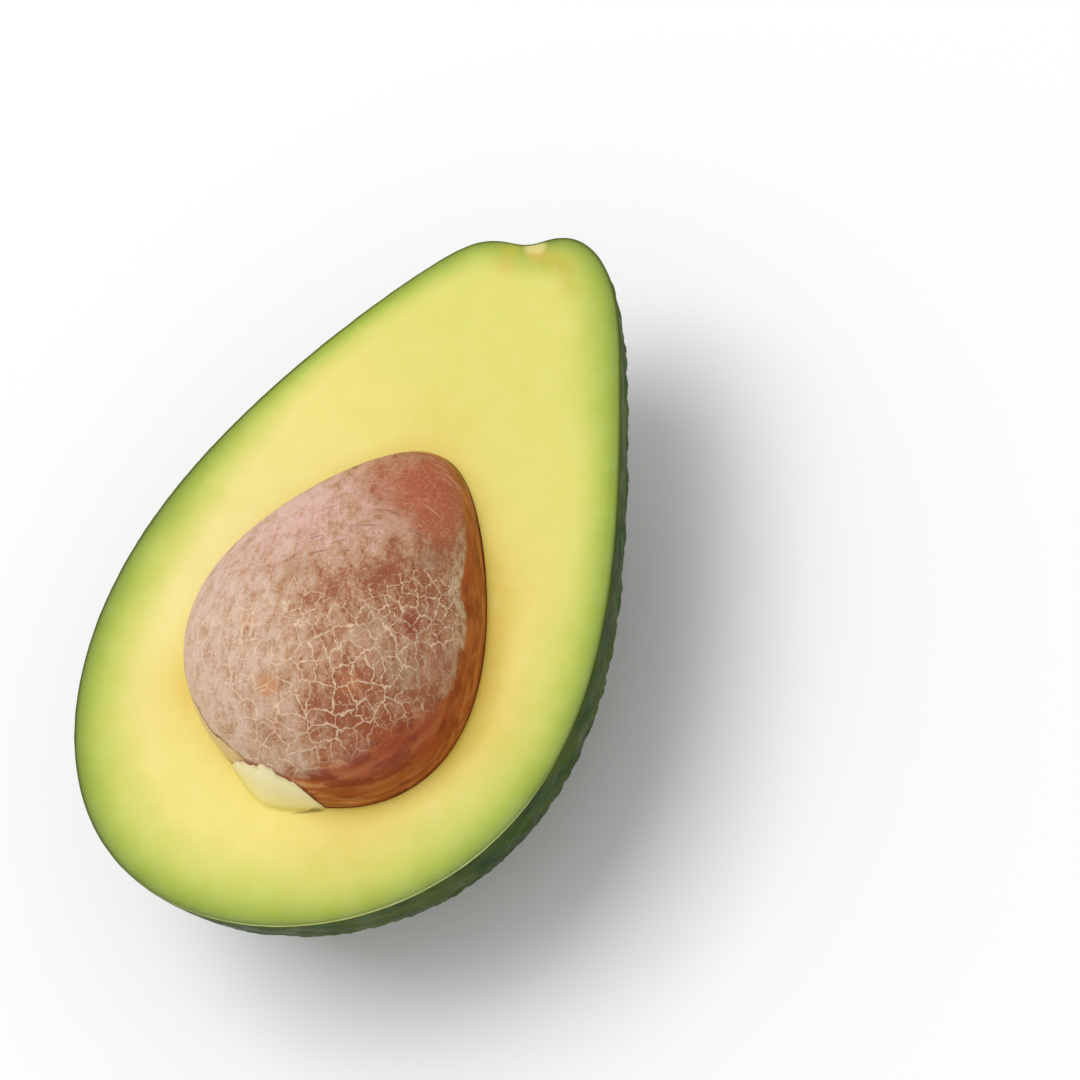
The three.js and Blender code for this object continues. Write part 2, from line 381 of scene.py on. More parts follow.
def patches_group():
    """Soft uneven patches: a mask from 0 to 1, with the patches' size in metres."""
    group = bpy.data.node_groups.new("soft_patches", "ShaderNodeTree")
    sockets = group.interface
    sockets.new_socket("Size", in_out="INPUT", socket_type="NodeSocketFloat")
    sockets.new_socket("Shift", in_out="INPUT", socket_type="NodeSocketFloat")
    sockets.new_socket("Edge", in_out="INPUT", socket_type="NodeSocketFloat")
    sockets.new_socket("Mask", in_out="OUTPUT", socket_type="NodeSocketFloat")
    start, end = group.nodes.new("NodeGroupInput"), group.nodes.new("NodeGroupOutput")
    place = add_node(group, "ShaderNodeTexCoord").outputs["Object"]
    scale = arithmetic(group, "DIVIDE", 1.0, start.outputs["Size"])
    noise = add_node(group, "ShaderNodeTexNoise",
                     {"Vector": place, "W": start.outputs["Shift"], "Scale": scale, "Detail": 4.0},
                     noise_dimensions="4D")
    low = arithmetic(group, "SUBTRACT", 0.5, start.outputs["Edge"])
    high = arithmetic(group, "ADD", 0.5, start.outputs["Edge"])
    mask = share_between(group, noise.outputs["Fac"], low, high)
    group.links.new(mask, end.inputs["Mask"])
    return group


PATCHES = patches_group()


def patches(tree, size, shift, edge=0.15):
    values = {"Size": size * MM, "Shift": shift, "Edge": edge}
    node = tree.nodes.new("ShaderNodeGroup")
    node.node_tree = PATCHES
    for label, value in values.items():
        node.inputs[label].default_value = value
    return node.outputs["Mask"]


def skin_material():
    material, tree, shader = new_material("avocado_skin")
    place = add_node(tree, "ShaderNodeTexCoord").outputs["Object"]
    crease = share_between(tree, attribute(tree, "pebble"), 0.4, 0.0)
    full_relief = share_between(tree, attribute(tree, "below_cut"), 2.0, 14.0)
    colour = blend_colours(tree, patches(tree, 22, 1.0), SKIN_GREEN, SKIN_BLUE_GREEN)
    tops = product(tree, patches(tree, 6, 2.0), 0.5)
    colour = blend_colours(tree, tops, colour, SKIN_PALE_GREEN)
    # Painted shade in the creases between the pebbles, below the cut.
    colour = blend_colours(tree, product(tree, crease, full_relief, 0.4), colour, SKIN_CREASE_SHADE)
    pits = add_node(tree, "ShaderNodeTexVoronoi", {"Vector": place, "Scale": 1 / (SKIN_PIT_PITCH * MM)})
    pit = share_between(tree, pits.outputs["Distance"], 0.17, 0.07)
    pit = product(tree, pit, patches(tree, 16, 3.0, 0.1))
    spots = add_node(tree, "ShaderNodeTexVoronoi", {"Vector": place, "Scale": 1 / (SKIN_SPOT_PITCH * MM)})
    spot = share_between(tree, spots.outputs["Distance"], 0.16, 0.08)
    spot = product(tree, spot, patches(tree, 7, 4.0, 0.1), 0.55)
    colour = blend_colours(tree, spot, colour, SKIN_SPOT)
    # Painted shade fills the pits.
    colour = blend_colours(tree, product(tree, pit, 0.9), colour, SKIN_PIT)
    stem = attribute(tree, "stem")
    colour = blend_colours(tree, share_between(tree, stem, 0.45, 0.9), colour, SKIN_SCAR)
    cut_colour = blend_colours(tree, attribute(tree, "pale_edge"), CUT_SKIN_DARK, CUT_SKIN_PALE)
    colour = blend_colours(tree, attribute(tree, "on_cut"), colour, cut_colour)
    tree.links.new(colour, shader.inputs["Base Color"])
    roughness = share_between(tree, patches(tree, 4, 5.0), 0, 1, 0.38, 0.55)
    tree.links.new(roughness, shader.inputs["Roughness"])
    grain = add_node(tree, "ShaderNodeTexNoise",
                     {"Vector": place, "Scale": 1 / (SKIN_GRAIN_PITCH * MM), "Detail": 3.0})
    pores = add_node(tree, "ShaderNodeTexVoronoi", {"Vector": place, "Scale": 1 / (SKIN_PORE_PITCH * MM)})
    height = arithmetic(tree, "MULTIPLY_ADD", pores.outputs["Distance"], 0.6, grain.outputs["Fac"])
    height = arithmetic(tree, "MULTIPLY_ADD", pit, -3.0, height)
    bump = add_node(tree, "ShaderNodeBump",
                    {"Height": height, "Distance": SKIN_BUMP_DEPTH * MM, "Strength": 0.6})
    tree.links.new(bump.outputs["Normal"], shader.inputs["Normal"])
    shader.inputs["Specular IOR Level"].default_value = SKIN_SPECULAR
    return material


skin.data.materials.append(skin_material())

# ---------------------------------------------------------------- flesh
# The soft flesh that fills the peel, cut flat and moist. It is green under the skin and turns to a
# warm yellow round the seed's hollow, darkened there with painted shade. A thin cream lip of it still
# clings to the seed's broad end.
FLESH_STEPS = 90
FLESH_ROWS = 64
FLESH_OVERLAP = 0.03
CUT_ROLL = 0.05
CUT_ROLL_REACH = 0.3
CUT_WAVE = 0.06
SEED_LENGTH = 53.8
SEED_MID_Y = 1
SEED_HALF_BREADTH = np.polynomial.Polynomial([21.2, -7.3, -1.3, 0.9])
SEED_MIDLINE_X = np.polynomial.Polynomial([-0.2, -1.3])
SEED_FLATTENING = 0.9
SEED_GAP = 0.05
HOLLOW_EDGE_DROP = 0.2

LIP_GAP = 0.16  # clear of the seed's own unevenness
LIP_MID_TURN = -86.7  # degrees round the seed from +X
LIP_HALF_TURN = 16.6
LIP_RISE = 8.8
LIP_REACH = 2.5  # how far out from the seed the cut face starts to rise
CRACK_START = np.array([9.8, -24.9])
CRACK_END = np.array([5.8, -27.4])

FLESH_UNDER_SKIN = (88, 108, 22)
FLESH_PALE = (236, 221, 121)
# Paler flesh on the side towards the lamp: partly its own tone, partly painted light.
FLESH_SIDE = (241, 227, 146)
FLESH_NECK = (221, 215, 104)
# Warm yellow, also used for the partly painted shade beside the seed.
FLESH_WARM = (224, 196, 74)
FLESH_ORANGE = (222, 176, 66)
FLESH_OCHRE = (194, 182, 52)
FLESH_STEM_SPOT = (228, 216, 136)
LIP_CREAM = (255, 239, 196)
LIP_YELLOW = (253, 237, 166)
LIP_TAN = (214, 180, 132)
CRACK_SHADE = (120, 96, 44)
FLESH_FIBRE_PITCH = 1.6
FLESH_BUMP_DEPTH = 0.06
FLESH_SPECULAR = 0.35
FLESH_GLOW = 0.2
FLESH_GLOW_DEPTH = 1.5
FLESH_GLOW_COLOURS = (1.0, 0.8, 0.3)
# The green under the skin: distance from the skin in mm, and the colour there.
GREEN_STEPS = [(0.0, FLESH_UNDER_SKIN), (0.5, (126, 146, 32)), (1.0, (142, 162, 34)),
               (2.0, (164, 181, 54)), (3.5, (189, 199, 77)), (5.0, (206, 208, 92)),
               (7.0, (219, 214, 106)), (10.0, FLESH_PALE)]
GREEN_REACH = 10.0
# Soft spots of colour on the cut face, each with its x, its y, its radius and its strength.
WARM_SPOTS = [(-4, 31, 6, 0.35), (-19, -19, 6, 0.5), (16, 13, 7, 0.5), (23, -3, 7, 0.6), (14, -26, 9, 0.45)]
OCHRE_SPOTS = [(-8.6, 59.6, 1.8, 0.8), (-2.2, 61, 1.8, 0.9), (0.4, 60.6, 1.8, 0.8), (2.6, 58.6, 2, 0.5)]
ORANGE_SPOTS = [(-4.7, 60.9, 1.3, 0.9), (-8, 57.2, 1.4, 0.5)]
STEM_SPOTS = [(-6, 61.6, 1.3, 1), (-5, 62, 1.3, 1)]


def seed_points(ball, proud):
    """Where points of the unit ball lie on the seed, or the given distance outside it."""
    depth = SEED_HALF_BREADTH * SEED_FLATTENING
    points, normals = on_body(ball, SEED_LENGTH, SEED_MID_Y, SEED_MIDLINE_X, SEED_HALF_BREADTH, depth)
    return points + normals * np.reshape(proud, (-1, 1)), normals


def rim_distance(points, rim):
    """Level distance from each point to the nearest point of a closed rim."""
    gaps = [np.linalg.norm(rim[:, :2] - point[:2], axis=1).min() for point in points]
    return np.array(gaps)


def ring_faces(rows):
    """Triangles between rows of point numbers, each row a closed ring."""
    onward = np.roll(rows, -1, axis=1)
    quads = np.stack([rows[:-1], onward[:-1], onward[1:], rows[1:]], axis=-1).reshape(-1, 4)
    return np.vstack([quads[:, [0, 1, 2]], quads[:, [0, 2, 3]]])


def soft_spots(x, y, spots):
    """Soft round spots added up, each given by its place, its radius and its strength."""
    total = np.zeros(len(x))
    for spot_x, spot_y, radius, strength in spots:
        total += strength * hump(np.hypot(x - spot_x, y - spot_y), 0, radius)
    return total


ball, hollow_faces, hollow_rim = half_ball(FLESH_STEPS)
hollow = seed_points(ball, SEED_GAP)[0]
bowl, bowl_faces, bowl_rim = fruit_half(FLESH_STEPS, FLESH_OVERLAP)
seed_rim = hollow[hollow_rim].copy()
skin_rim = bowl[bowl_rim].copy()
shares = (1 - np.cos(np.linspace(0, math.pi, FLESH_ROWS + 1))) / 2
face = np.vstack([skin_rim * (1 - share) + seed_rim * share for share in shares])
from_skin = rim_distance(face, skin_rim)
from_seed = rim_distance(face, seed_rim)
wave = np.sin(face[:, 0] / 6.1 + 0.7) * np.sin(face[:, 1] / 8.3 + 0.2 * np.sin(face[:, 0] / 9))
face[:, 2] = CUT_HEIGHT + CUT_WAVE * wave * smooth_step(from_skin, 0, 6) * smooth_step(from_seed, 0, 4)
face[:, 2] -= CUT_ROLL * (np.exp(-from_skin / CUT_ROLL_REACH) + np.exp(-from_seed / CUT_ROLL_REACH))

# The lip: beside the seed's broad end the cut face climbs the seed in a smooth hollow curve.
rim_turn = np.degrees(np.arctan2(ball[hollow_rim, 1], ball[hollow_rim, 0]))
side = np.clip((rim_turn - LIP_MID_TURN) / LIP_HALF_TURN, -1, 1)
arch = np.sqrt(1 - side ** 2)
ragged = 1 + 0.05 * np.sin(side * 9 + 1) + 0.02 * np.sin(side * 27 + 2) + 0.012 * np.sin(side * 61)
rise = LIP_RISE * arch * (1 + 0.12 * side) * ragged
spread = arch * smooth_step(side, -1.2, -0.1) * (1 - 0.6 * smooth_step(side, 0, 0.8))
lip_reach = 0.5 + (LIP_REACH - 0.5) * spread
closeness = np.clip(1 - from_seed.reshape(FLESH_ROWS + 1, -1) / lip_reach, 0, 1) ** 2.4 * (arch > 0)
climb = np.arcsin(rise / (SEED_FLATTENING * SEED_HALF_BREADTH(ball[hollow_rim, 1]))) * closeness
climbing = ball[hollow_rim] * np.cos(climb)[..., None]
climbing[..., 2] = np.sin(climb)
lip_gap = LIP_GAP * smooth_step(arch, 0, 0.3) * smooth_step(closeness, 0, 0.1) + SEED_GAP
climbed = seed_points(climbing.reshape(-1, 3), lip_gap)[0].reshape(climbing.shape)
face += (climbed - seed_rim).reshape(-1, 3)
on_lip = (closeness * rise).reshape(-1)
lip_edge = (closeness * (arch > 0.05)).reshape(-1)

grid = np.arange(len(face)).reshape(FLESH_ROWS + 1, len(skin_rim))
number_of = np.arange(len(face) + len(bowl) + len(hollow))
bowl_start = len(face)
hollow_start = bowl_start + len(bowl)
number_of[bowl_start + bowl_rim] = grid[0]
hollow[hollow_rim, 2] -= HOLLOW_EDGE_DROP
flesh_faces = np.vstack([
    ring_faces(np.vstack([grid, hollow_start + hollow_rim])),
    number_of[bowl_faces + bowl_start],
    number_of[hollow_faces[:, ::-1] + hollow_start],
])
flesh_points = np.vstack([face, bowl, hollow])
used, flesh_faces = np.unique(flesh_faces, return_inverse=True)
flesh_faces = flesh_faces.reshape(-1, 3)

# The green is widest at the blossom end and half as wide along one side of the neck.
turn = np.degrees(np.arctan2(face[:, 1] - MID_Y, face[:, 0]))
green_width = 1 + 0.14 * np.cos(np.radians(turn + 95)) - 0.45 * hump(turn, 138, 38)
green_width += 0.35 * hump(turn, 79, 16)

face_x, face_y = face[:, 0], face[:, 1]
seed_turn = np.degrees(np.arctan2(face_y - SEED_MID_Y, face_x))
# Besides the warm spots, a darker warm band along the seed's right side: partly the flesh's deeper yellow,
# partly painted shade.
warm = soft_spots(face_x, face_y, WARM_SPOTS) + 0.7 * hump(from_seed, 1.2, 2.6) * hump(seed_turn, 12, 45)
# Partly painted light: a paler patch on the side of the cut face towards the lamp.
pale = hump(np.hypot((face_x + 25) / 9, (face_y + 4) / 20), 0, 1)
# At one end the lip parts from the cut face and leaves a fine crack under it; the mesh has no gap there,
# and the crack is painted as a dark line of shade.
crack_way = (CRACK_END - CRACK_START) / np.linalg.norm(CRACK_END - CRACK_START)
from_crack = face[:, :2] - CRACK_START
crack_run = from_crack @ crack_way
crack = hump(from_crack @ [-crack_way[1], crack_way[0]], 0, 0.12)
crack *= smooth_step(crack_run, -0.5, 0.5) * (1 - smooth_step(crack_run, 3.0, 5.0))
unseen = np.zeros(len(bowl) + len(hollow))


def for_all(on_face):
    """An attribute's values in the order of the flesh's points."""
    return np.concatenate([on_face, unseen])[used]


flesh = new_piece("flesh_half", flesh_points[used], flesh_faces, {
    "green": for_all(from_skin / green_width),
    "from_seed": for_all(from_seed),
    "warm": for_all(warm),
    "pale": for_all(pale),
    "ochre": for_all(soft_spots(face_x, face_y, OCHRE_SPOTS)),
    "orange": for_all(soft_spots(face_x, face_y, ORANGE_SPOTS)),
    "neck": for_all(smooth_step(face_y + 0.4 * face_x, 12, 46)),
    "stem_spot": for_all(np.max([soft_spots(face_x, face_y, [spot]) for spot in STEM_SPOTS], axis=0)),
    "lip": for_all(smooth_step(on_lip, 0.0, 1.6)),
    "lip_top": for_all(lip_edge),
    "crack": for_all(crack),
}, "flesh")


def colour_steps(tree, value, steps):
    """A colour that follows value through (place, colour) steps, with places from 0 to 1."""
    ramp = add_node(tree, "ShaderNodeValToRGB", {"Fac": value})
    while len(ramp.color_ramp.elements) < len(steps):
        ramp.color_ramp.elements.new(0.5)
    for element, (place, colour) in zip(ramp.color_ramp.elements, steps):
        element.position = place
        element.color = linear(colour)
    return ramp.outputs["Color"]


def flesh_material():
    material, tree, shader = new_material("avocado_flesh")
    place = add_node(tree, "ShaderNodeTexCoord").outputs["Object"]
    green = attribute(tree, "green")
    wander = product(tree, share_between(tree, patches(tree, 6, 5.0, 0.4), 0, 1, 0.88, 1.12), green)
    depth = arithmetic(tree, "DIVIDE", wander, GREEN_REACH)
    colour = colour_steps(tree, depth, [(away / GREEN_REACH, tint) for away, tint in GREEN_STEPS])
    past_green = share_between(tree, green, 4.0, 9.0)
    neck = product(tree, attribute(tree, "neck"), past_green, 0.95)
    colour = blend_colours(tree, neck, colour, FLESH_NECK)
    # Partly painted light on the side towards the lamp.
    pale = product(tree, attribute(tree, "pale"), past_green, 0.9)
    colour = blend_colours(tree, pale, colour, FLESH_SIDE)
    # Partly painted shade: within a few millimetres of the seed the flesh turns warmer and darker, a soft
    # shade round the seed.
    beside_seed = share_between(tree, attribute(tree, "from_seed"), 4.0, 0.2, 0.0, 0.4)
    beside_seed = arithmetic(tree, "SUBTRACT", beside_seed, attribute(tree, "lip"), clamp=True)
    warm = arithmetic(tree, "ADD", attribute(tree, "warm"), beside_seed, clamp=True)
    warm = product(tree, warm, share_between(tree, patches(tree, 5, 6.0, 0.4), 0, 1, 0.75, 1.0))
    colour = blend_colours(tree, warm, colour, FLESH_WARM)
    uneven = share_between(tree, patches(tree, 1.8, 9.0, 0.3), 0, 1, 0.6, 1.0)
    for label, tint in (("ochre", FLESH_OCHRE), ("orange", FLESH_ORANGE)):
        colour = blend_colours(tree, product(tree, attribute(tree, label), uneven), colour, tint)
    spot = share_between(tree, attribute(tree, "stem_spot"), 0.2, 0.9, 0.0, 0.75)
    colour = blend_colours(tree, spot, colour, FLESH_STEM_SPOT)
    lip_top = attribute(tree, "lip_top")
    cream = product(tree, share_between(tree, lip_top, 0.1, 0.75),
                    share_between(tree, patches(tree, 2.5, 7.0, 0.3), 0, 1, 0.5, 1.0))
    lip_colour = blend_colours(tree, cream, LIP_YELLOW, LIP_CREAM)
    colour = blend_colours(tree, attribute(tree, "lip"), colour, lip_colour)
    edge = product(tree, share_between(tree, lip_top, 0.86, 1.0), patches(tree, 2, 7.0, 0.2), 0.8)
    colour = blend_colours(tree, edge, colour, LIP_TAN)
    # Painted shade of the crack under the lip's end.
    colour = blend_colours(tree, product(tree, attribute(tree, "crack"), 0.9), colour, CRACK_SHADE)
    tree.links.new(colour, shader.inputs["Base Color"])
    roughness = share_between(tree, patches(tree, 3, 8.0, 0.3), 0, 1, 0.4, 0.52)
    tree.links.new(roughness, shader.inputs["Roughness"])
    fibres = add_node(tree, "ShaderNodeTexNoise",
                      {"Vector": place, "Scale": 1 / (FLESH_FIBRE_PITCH * MM), "Detail": 5.0})
    bump = add_node(tree, "ShaderNodeBump", {
        "Height": fibres.outputs["Fac"], "Distance": FLESH_BUMP_DEPTH * MM, "Strength": 0.4,
    })
    tree.links.new(bump.outputs["Normal"], shader.inputs["Normal"])
    shader.inputs["Specular IOR Level"].default_value = FLESH_SPECULAR
    shader.inputs["Subsurface Weight"].default_value = FLESH_GLOW
    shader.inputs["Subsurface Radius"].default_value = FLESH_GLOW_COLOURS
    shader.inputs["Subsurface Scale"].default_value = FLESH_GLOW_DEPTH * MM
    return material


flesh.data.materials.append(flesh_material())

# ---------------------------------------------------------------- seed
# The one large seed, an egg in a thin papery coat that has dried dusty and cracked into a cream net.
# Low down the seed is still moist and orange brown. It sits loose in its hollow.
SEED_STEPS = 120
SEED_WAVE = 0.07
COAT_THICKNESS = 0.07
# The wear on the coat is laid out flat in millimetres, from the middle of the coat's top.
COAT_TOP = np.array([0.385, -0.155, 0.91])
COAT_ACROSS = np.array([0.829, 0.492, -0.267])
COAT_ALONG = np.array([-0.406, 0.857, 0.318])
COAT_RADIUS = 22
WRINKLE_RADIUS = 14  # turns a bearing on the coat into millimetres round its narrow end

SEED_BROWN = (154, 90, 56)
SEED_TAN = (184, 138, 104)
SEED_DUSTY = (216, 186, 166)
SEED_GREY = (164, 132, 102)
SEED_PINK = (219, 178, 164)
SEED_ROSE = (178, 92, 62)
SEED_RED = (142, 66, 44)
SEED_AMBER = (202, 132, 82)
SEED_MOIST = (158, 68, 28)
SEED_MOIST_LIGHT = (202, 124, 64)
SEED_MOIST_DARK = (132, 46, 16)
SEED_THREAD = (222, 170, 120)
SEED_STALE = (232, 198, 148)
SEED_NET = (234, 202, 168)
SEED_CHALK = (200, 176, 142)
SEED_TORN_SHADOW = (96, 62, 40)
SEED_FOLD_SHADE = (142, 82, 60)
SEED_BUMP_DEPTH = 0.14
SEED_SPECULAR = 0.25
NET_PITCH, NET_WIDTH = 2.6, 0.15
FINE_NET_PITCH, FINE_NET_WIDTH = 1.5, 0.11
FIBRE_LENGTH = 5
# The deepest wrinkles, whose folds are painted dark as shade: place round the coat, distance from its top,
# half length, half width.
CREASES = [
    (6.5, 17.6, 1.3, 0.16), (10.2, 15.6, 1.5, 0.16), (15.6, 14.4, 4.5, 0.2),
    (-6.5, 14.5, 2.6, 0.14), (-2.5, 15.6, 1.8, 0.12), (1.8, 19.2, 2.2, 0.12),
    (-10.5, 16.5, 2.2, 0.14), (4.2, 22.6, 2.4, 0.14), (-5.5, 18.0, 1.6, 0.12),
    (8.5, 21.0, 1.6, 0.12),
]
# Soft marks on the coat: place across it, place along it, radius and strength.
COAT_MARKS = {
    # Dust, with painted light: the first spot is a pale patch for a soft highlight high on the lamp's side.
    "dust_and_light": [
        (-8, 17, 6, 0.35), (2, 13, 4, 0.12), (-8, -18, 3, 0.1), (7, 16, 5, 0.15), (0, -19, 4, 0.12),
        (-2, -12, 8, -0.45), (7, -13, 7, -0.3), (12, 20, 7, -0.4), (4, 7, 2.7, -0.4),
        (-4, 4, 5, -0.4), (10, 5, 6, -0.35),
    ],
    "grey": [(10.6, 8.8, 2.4, 0.7), (7, -6, 4, 0.7), (3, 1, 4, 0.5), (-8, 8, 3, 0.5), (11, 2, 3, 0.4)],
    "red": [
        (-2, -12, 7, 0.45), (-11.6, -15.3, 2, 0.35), (13, -5, 3, 0.5), (4, 7, 2.4, 0.5),
        (8.7, -11.5, 3.5, 0.2),
    ],
    "amber": [(-11.5, -8.2, 2.2, 0.75), (-14.3, 1.2, 1.8, 0.5), (0, -8, 2.5, 0.6)],
    "rose": [(12, 18.5, 6, 1), (3.5, 20.5, 5.5, 0.45), (12, 13, 3, 0.3)],
    "net": [
        (-7, -2, 7, 0.3), (-14, -13, 9, 0.5), (-18, -4, 8, 0.25), (11, 5, 3, 0.6),
        (9, -8, 5, -0.45), (13, -4, 4, -0.3),
    ],
}
# The stains: a mark's name, its colour and how strongly it covers.
STAINS = [
    ("grey", SEED_GREY, 0.75), ("amber", SEED_AMBER, 0.9), ("rose", SEED_ROSE, 0.85),
    ("red", SEED_RED, 0.85),
]

ball, lower_faces, rim = half_ball(SEED_STEPS)
upper = ball * [1, 1, -1]
both = np.vstack([ball, upper])
number_of = np.arange(len(both))
number_of[len(ball) + rim] = rim
seed_faces = np.vstack([lower_faces, number_of[lower_faces[:, ::-1] + len(ball)]])
used, seed_faces = np.unique(seed_faces, return_inverse=True)
seed_faces = seed_faces.reshape(-1, 3)
points, normals = seed_points(both[used], 0)
above_cut = points[:, 2] - CUT_HEIGHT
from_middle = points - [0, SEED_MID_Y, CUT_HEIGHT]
across, along = from_middle @ COAT_ACROSS, from_middle @ COAT_ALONG
tilt = np.arccos(np.clip(from_middle @ COAT_TOP / np.linalg.norm(from_middle, axis=1), -1, 1))
flat_scale = COAT_RADIUS * tilt / np.maximum(np.hypot(across, along), 0.01)
# The dry coat ends some millimetres above the cut: at a torn edge beside the lip, and in a gradual
# change of colour along the side that stayed moist longest.
turn = np.degrees(np.arctan2(points[:, 1] - SEED_MID_Y, points[:, 0]))
outward = np.column_stack([np.cos(np.radians(turn)), np.sin(np.radians(turn))])
far_side = np.clip(-outward @ COAT_TOP[:2], 0, 1)
coat_edge = 7.4 * smooth_step(turn, -150, -112) * (1 - smooth_step(turn, 25, 105))
coat_edge += 5.0 * hump(turn, -45, 24) - 1.6 * hump(turn, 10, 25)
coat_edge += 0.3 + 13 * far_side
coat_edge += 0.35 * np.sin(turn / 5.3 + 1) + 0.15 * np.sin(turn / 2.1)
coat = above_cut - coat_edge
torn = hump(turn, -112, 22)
gradual = hump(turn, -48, 30)
stale = smooth_step(turn, -176, -150) * (1 - smooth_step(turn, -99, -88))
wave = np.sin(points[:, 0] / 3.7 + 1) * np.sin(points[:, 1] / 5.1) * np.sin(points[:, 2] / 4.3 + 2)
proud = SEED_WAVE * wave - COAT_THICKNESS * (1 - smooth_step(coat, -0.2, 0.2))
points += normals * proud[:, None]

marks = {label: soft_spots(across, along, spots) for label, spots in COAT_MARKS.items()}
# Partly painted light: the coat grows paler towards the lamp's side.
marks["dust_and_light"] += 0.6 - 0.017 * across
marks["red"] += 1.3 * hump(np.hypot((across - 8.3) / 1.2, (along - 0.2) / 2.2), 0, 1)
marks["net"] += 0.34 * (1 - smooth_step(along, 2, 9))
marks["net"] += hump(np.hypot((across + 3) / 13, (along + 13) / 10), 0, 1)
marks["net"] += 0.8 * hump(np.hypot(across - 8.5, along - 0.8), 4.2, 2.4)
chalk = hump(along, 4.5, 8) * smooth_step(across, 10, 13)
slits = smooth_step(-across, 0, 7) * (1 - smooth_step(along, 5, 12)) * smooth_step(along, -16, -9)
threads = hump(turn, -82, 20)
bearing = np.arctan2(across, along)
seed = new_piece("seed_whole", points, seed_faces, {
    "flat_x": across * flat_scale, "flat_y": along * flat_scale,
    "round_x": WRINKLE_RADIUS * bearing, "round_y": COAT_RADIUS * tilt,
    "above_cut": above_cut, "along": along, "coat": coat, "torn": torn, "gradual": gradual,
    "stale": stale, "chalk": chalk, "slits": slits, "threads": threads, **marks,
}, "seed")


def combined(tree, x, y, z=0.0):
    return add_node(tree, "ShaderNodeCombineXYZ", {0: x, 1: y, 2: z}).outputs[0]


def noise(tree, place, detail=3.0):
    """Noise from about 0.2 to 0.8 over a place counted in its own cells."""
    values = {"Vector": place, "Scale": 1.0, "Detail": detail}
    return add_node(tree, "ShaderNodeTexNoise", values).outputs["Fac"]


def coat_noise(tree, cells_across, cells_along, detail):
    """Noise on the flattened coat, with the given numbers of cells to a millimetre."""
    x = product(tree, attribute(tree, "flat_x"), cells_across)
    y = product(tree, attribute(tree, "flat_y"), cells_along)
    return noise(tree, combined(tree, x, y), detail)


def fibre_noise(tree, cells_up):
    """Noise drawn out level round the seed, with the given number of cells to a millimetre upwards."""
    place = add_node(tree, "ShaderNodeTexCoord").outputs["Object"]
    sides = add_node(tree, "ShaderNodeSeparateXYZ", {0: place})
    x, y = (product(tree, sides.outputs[side], 1 / (FIBRE_LENGTH * MM)) for side in (0, 1))
    return noise(tree, combined(tree, x, y, product(tree, attribute(tree, "above_cut"), cells_up)), 5.0)


def shaken(tree, place, cell, reach):
    """The place moved by up to about half the reach, differently in each cell of the given size."""
    shift = add_node(tree, "ShaderNodeTexNoise", {"Vector": place, "Scale": 1 / cell, "Detail": 1.0})
    middle = add_node(tree, "ShaderNodeVectorMath", {0: shift.outputs["Color"], 1: (0.5,) * 3},
                      operation="SUBTRACT")
    scaled = add_node(tree, "ShaderNodeVectorMath", {0: middle.outputs[0], "Scale": reach},
                      operation="SCALE")
    moved = add_node(tree, "ShaderNodeVectorMath", {0: place, 1: scaled.outputs[0]}, operation="ADD")
    return moved.outputs[0]


def crack_lines(tree, place, pitch, width):
    """Thin jagged lines of a net. The place, its pitch and the lines' width are in millimetres."""
    bent = shaken(tree, shaken(tree, place, pitch * 1.5, pitch * 0.8), 0.9, 1.05)
    net = add_node(tree, "ShaderNodeTexVoronoi", {"Vector": bent, "Scale": 1 / pitch},
                   voronoi_dimensions="2D", feature="DISTANCE_TO_EDGE")
    return share_between(tree, net.outputs["Distance"], width / pitch, 0.3 * width / pitch)


def offset(tree, value, change, amount):
    """The value plus the change's distance from 0.5, as many times as the amount says."""
    shift = arithmetic(tree, "SUBTRACT", change, 0.5)
    return arithmetic(tree, "MULTIPLY_ADD", shift, amount, value)


def distance(tree, value, place):
    return arithmetic(tree, "ABSOLUTE", arithmetic(tree, "SUBTRACT", value, place))


def arc_mark(tree, place_round, radius, half_length, half_width):
    """1 on a short arc round the top of the coat, fading to its ends. All sizes are in mm."""
    bend = product(tree, arithmetic(tree, "SINE", product(tree, attribute(tree, "round_x"), 1.1)), 0.22)
    along_arc = distance(tree, attribute(tree, "round_x"), place_round)
    from_arc = distance(tree, arithmetic(tree, "ADD", attribute(tree, "round_y"), bend), radius)
    ends = share_between(tree, along_arc, half_length, 0.3 * half_length)
    return product(tree, ends, share_between(tree, from_arc, 2 * half_width, 0.2 * half_width))


def dry_coat(tree, grain, mottle):
    """The coat's colour: brown where it is worn, tan and then pale where the coat is dusty and where light
    is painted on, and stained.
    """
    dust_and_light = offset(tree, attribute(tree, "dust_and_light"), mottle, 1.6)
    dust_and_light = offset(tree, dust_and_light, grain, 1.3)
    dust_and_light = offset(tree, dust_and_light, coat_noise(tree, 2.6, 1.9, 2.0), 1.0)
    worn = blend_colours(tree, share_between(tree, dust_and_light, 0.0, 0.55), SEED_BROWN, SEED_TAN)
    pinkness = share_between(tree, attribute(tree, "along"), 4.0, 15.0)
    dusty = blend_colours(tree, pinkness, SEED_DUSTY, SEED_PINK)
    colour = blend_colours(tree, share_between(tree, dust_and_light, 0.35, 1.25), worn, dusty)
    for label, tint, strength in STAINS:
        share = offset(tree, attribute(tree, label), grain, 0.9)
        share = share_between(tree, share, 0.15, 0.95, 0.0, strength)
        colour = blend_colours(tree, share, colour, tint)
    return colour


